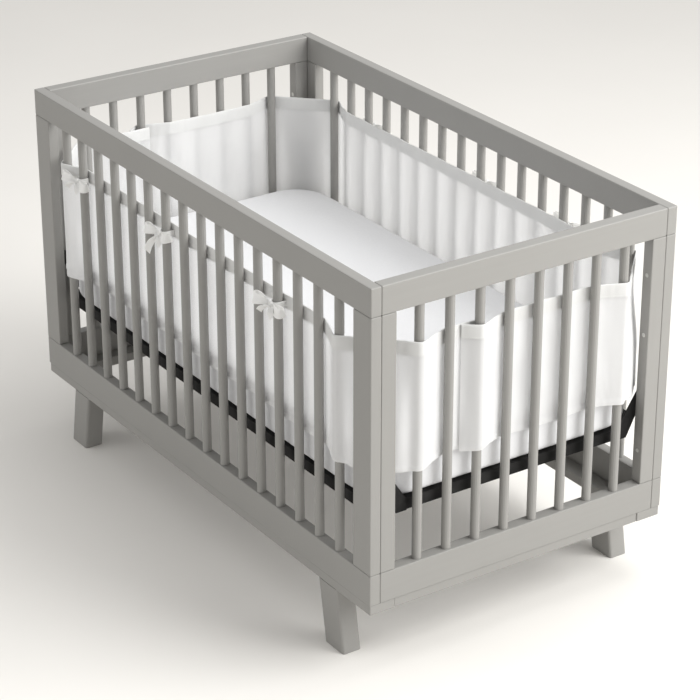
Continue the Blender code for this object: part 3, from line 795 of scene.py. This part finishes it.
def build_bows():
    """Three bows on each long side."""
    touching = WRAP_RADIUS - CLOTH_HALF - GAP
    clear_of_corner = touching - CORNER_RELIEF
    wide = (0.053, 0.018, 0.021, 0.04, 0.002)
    plain = (0.045, 0.022, 0.020, 0.08, 0.006)
    hanging = ((-0.024, 0.019, 0.045, 0.015, 0.009), (0.014, 0.008, 0.022, 0.012, -0.008))
    spread = ((-0.030, 0.010, 0.022, 0.013, 0.008), (0.018, 0.009, 0.021, 0.012, -0.007))
    open_left, raised_right = (0.046, 0.021, 0.022, 0.08, 0.003), (0.040, 0.025, 0.020, 0.16, 0.003)
    broad_left = (0.050, 0.022, 0.024, 0.08, 0.003)
    sides = (
        ("front", -1, front_slat, FRONT_TIES,
         ((wide, plain, spread), (open_left, raised_right, hanging), (broad_left, plain, spread))),
        ("back", 1, back_slat, BACK_TIES,
         ((wide, plain, spread), (wide, wide, spread), (plain, wide, spread))),
    )
    for label, sign, slat, indices, shapes in sides:
        for number, index in enumerate(indices):
            left, right, tails = shapes[number]
            back_gap = clear_of_corner if (label, index) == ("front", 2) else touching
            bow(f"bow_{label}_{number + 1}", f"tie_{label}_{number + 1}", slat(index), sign, number + 1.7,
                left, right, tails, back_gap)


# ---------------------------------------------------------------- mattress and hardware


def rounded_rectangle(half_x, half_y, radius, steps, long_parts, short_parts):
    """Points round a rectangle with round corners and straight runs cut into parts."""
    points = []
    for quarter, (sx, sy) in enumerate(((1, 1), (-1, 1), (-1, -1), (1, -1))):
        for step in range(steps + 1):
            angle = (quarter + step / steps) * math.pi / 2
            points.append(Vector((sx * (half_x - radius) + radius * math.cos(angle),
                                  sy * (half_y - radius) + radius * math.sin(angle))))
        parts = long_parts if quarter % 2 == 0 else short_parts
        nx, ny = ((-1, 1), (-1, -1), (1, -1), (1, 1))[quarter]
        start_angle = (quarter + 1) * math.pi / 2
        following = Vector((nx * (half_x - radius) + radius * math.cos(start_angle),
                            ny * (half_y - radius) + radius * math.sin(start_angle)))
        start = points[-1].copy()
        for part in range(1, parts):
            points.append(start.lerp(following, part / parts))
    return points


def build_mattress():
    """A firm mattress in a fitted sheet: crowned, round-edged, uneven on top, with gathers round its foot."""
    top = MATTRESS_BOTTOM + MATTRESS_THICK
    levels = []
    for step in range(7):
        angle = math.radians(15 * step)
        inset = MATTRESS_EDGE * (1 - math.sin(angle))
        levels.append((inset, MATTRESS_BOTTOM + MATTRESS_EDGE * (1 - math.cos(angle))))
    side_low, side_high = MATTRESS_BOTTOM + MATTRESS_EDGE, top - MATTRESS_EDGE
    for step in range(1, 12):
        levels.append((0.0, side_low + (side_high - side_low) * step / 12))
    for step in range(7):
        angle = math.radians(15 * step)
        inset = MATTRESS_EDGE * (1 - math.cos(angle))
        levels.append((inset, top - MATTRESS_EDGE * (1 - math.sin(angle))))
    inset = MATTRESS_EDGE
    while inset < MATTRESS_INNERMOST:
        inset += MATTRESS_RING_STEP
        risen = math.sin(math.pi / 2 * min(1.0, inset / CROWN_REACH))
        levels.append((inset, top + MATTRESS_CROWN * risen))
    rings = []
    for inset, height in levels:
        radius = max(MATTRESS_CORNER - inset, LEAST_CORNER)
        half_x, half_y = MATTRESS_LENGTH / 2 - inset, MATTRESS_WIDTH / 2 - inset
        outline = rounded_rectangle(half_x, half_y, radius, steps=12, long_parts=80, short_parts=36)
        ring = []
        for k, point in enumerate(outline):
            flat_part = smooth(height, top - TOP_BLEND, top)
            uneven = flat_part * smooth(half_y, *WAVE_FADE)
            soft = noise.noise(Vector((point.x * 6, point.y * 6, 3.0)))
            fine = noise.noise(Vector((point.x * 19, point.y * 19, 9.0)))
            lift = uneven * (SOFT_WAVE * soft + FINE_WAVE * fine)
            low = math.exp(-max(0.0, height - MATTRESS_BOTTOM) / GATHER_REACH)
            gathers = GATHER * low * math.sin(2 * math.pi * k / GATHER_LENGTH + 3 * soft)
            drawn_in = point.normalized() * abs(gathers) * (1 - flat_part)
            ring.append((*(point - drawn_in), height + lift))
        rings.append(ring)
    bm = bmesh.new()
    add_loft(bm, rings)
    made = piece(make_object("mattress_in_sheet", bm, "sheet_cotton"), "sheet_cotton", "mattress")


def build_nuts():
    """Zinc barrel nuts let into the inner faces of the end stiles, three to a stile."""
    # (radius, distance out of the stile's face)
    profile = ((0.0046, -0.004), (0.0046, 0.0002), (0.0042, 0.0006), (0.0030, 0.0006), (0.0027, 0.0002))
    bm = bmesh.new()
    face_y = INNER_WIDTH / 2 - GAP - END_STILE
    turns = [2 * math.pi * m / 18 for m in range(18)]
    for sx in (1, -1):
        for sy in (1, -1):
            for height in NUT_HEIGHTS:
                rings = []
                for radius, out in profile:
                    y = sy * (face_y - out)
                    rings.append([(sx * END_X + radius * math.cos(a), y, height + radius * math.sin(a))
                                  for a in turns])
                add_loft(bm, rings)
    piece(make_object("barrel_nuts", bm, "zinc", math.radians(30)), None)


# ---------------------------------------------------------------- assembly


for name, node in nodes.items():
    finish = "black_steel" if name.startswith(("hanger", "support")) else "painted_wood"
    for slot in node.material_slots:
        slot.material = FINISHES[finish]

for label, path, seed in (("front", front_panel_path(), 1.3), ("back", back_panel_path(), 5.9)):
    flat_length = round(path_frames(path)[-1][2], 3)
    build_panel(label, path, seed)
build_bows()
build_mattress()
build_nuts()


# ---------------------------------------------------------------- floor, light and camera


FLOOR_REACH, FLOOR_DROP = 30.0, 0.0005


def stage():
    """A plain floor just under the feet."""
    bm = bmesh.new()
    bmesh.ops.create_grid(bm, x_segments=1, y_segments=1, size=FLOOR_REACH)
    mesh = bpy.data.meshes.new("floor")
    bm.to_mesh(mesh)
    bm.free()
    mesh.materials.append(floor_finish())
    made = bpy.data.objects.new("floor", mesh)
    made.location.z = -FLOOR_DROP
    bpy.context.scene.collection.objects.link(made)


def area_light(name, place, target, size, watts, colour):
    """A round lamp of a given diameter, facing its target."""
    light = bpy.data.lights.new(name, "AREA")
    light.shape = "DISK"
    light.size = size
    light.energy = watts
    light.color = colour
    made = bpy.data.objects.new(name, light)
    made.location = place
    made.rotation_euler = (Vector(target) - Vector(place)).to_track_quat("-Z", "Y").to_euler()
    bpy.context.scene.collection.objects.link(made)


def camera():
    """The photograph's angle: from the front's near corner, looking down."""
    azimuth, elevation = math.radians(-56.08), math.radians(25.248)
    data = bpy.data.cameras.new("camera")
    data.lens = 127.10
    data.sensor_width = 36.0
    data.clip_end = 100.0
    made = bpy.data.objects.new("camera", data)
    made.location = (4.1856, -2.7793, 2.7342)
    level = math.cos(elevation)
    ahead = Vector((level * math.sin(azimuth), level * math.cos(azimuth), -math.sin(elevation)))
    made.rotation_euler = ahead.to_track_quat("-Z", "Y").to_euler()
    bpy.context.scene.collection.objects.link(made)
    bpy.context.scene.camera = made


def world():
    """An even, faintly warm surround."""
    made = bpy.data.worlds.new("world")
    made.use_nodes = True
    background = made.node_tree.nodes["Background"]
    background.inputs["Color"].default_value = (1.0, 0.995, 0.985, 1)
    background.inputs["Strength"].default_value = 0.61
    bpy.context.scene.world = made
    bpy.context.scene.view_settings.view_transform = "Standard"


stage()
area_light("window", (3.7, 2.6, 3.2), (0.0, 0.0, 0.5), 4.2, 292.0, (1.0, 0.998, 0.99))
area_light("ceiling", (0.3, 0.8, 3.6), (0.0, 0.0, 0.4), 2.6, 45.0, (1.0, 1.0, 1.0))
area_light("fill", (-1.6, -4.0, 2.6), (0.0, 0.0, 0.5), 2.6, 24.0, (1.0, 1.0, 1.0))
camera()
world()
